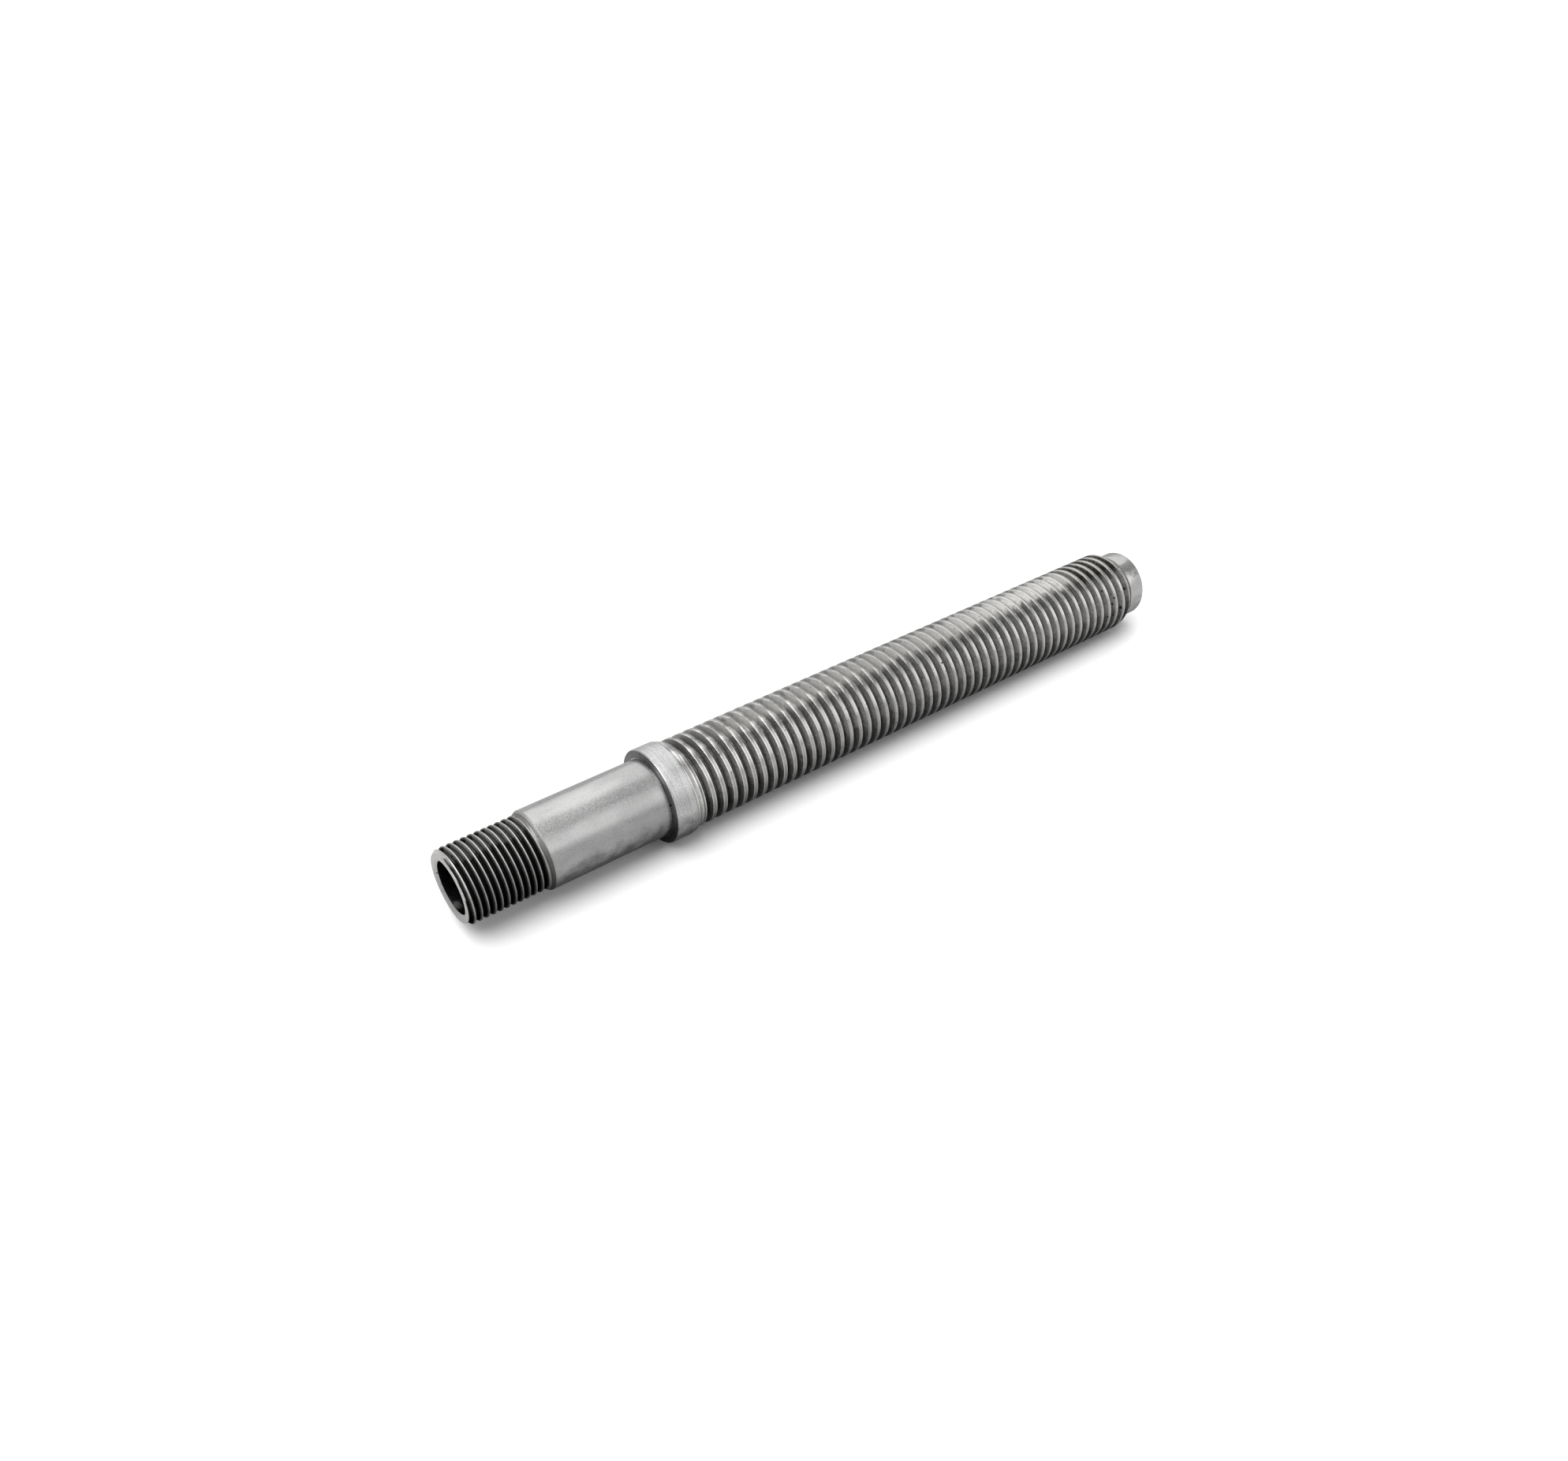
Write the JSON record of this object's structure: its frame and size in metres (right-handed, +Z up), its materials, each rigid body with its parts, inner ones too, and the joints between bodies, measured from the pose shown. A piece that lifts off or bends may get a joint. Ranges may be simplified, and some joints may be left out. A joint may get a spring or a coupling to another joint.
{
  "type": "feed screw",
  "caption": "Turned steel feed screw with a coarse flat-crested thread, a collar, a plain journal, a hollow fine-threaded nose and a short end spigot.",
  "frame": {"origin": "on the screw's axis, in the plane of the collar face that meets the journal", "axes": "+X along the screw's axis from the hollow nose towards the spigot, +Z up from the surface it lies on, +Y to the left of +X seen from above"},
  "size_m": [0.1841, 0.0204, 0.0205],
  "materials": {
    "steel": "satin turned steel, bright on the rims and crests, dark oil film in the grooves"
  },
  "bodies": {
    "root": {"feed_screw": "steel"}
  },
  "joints": []
}
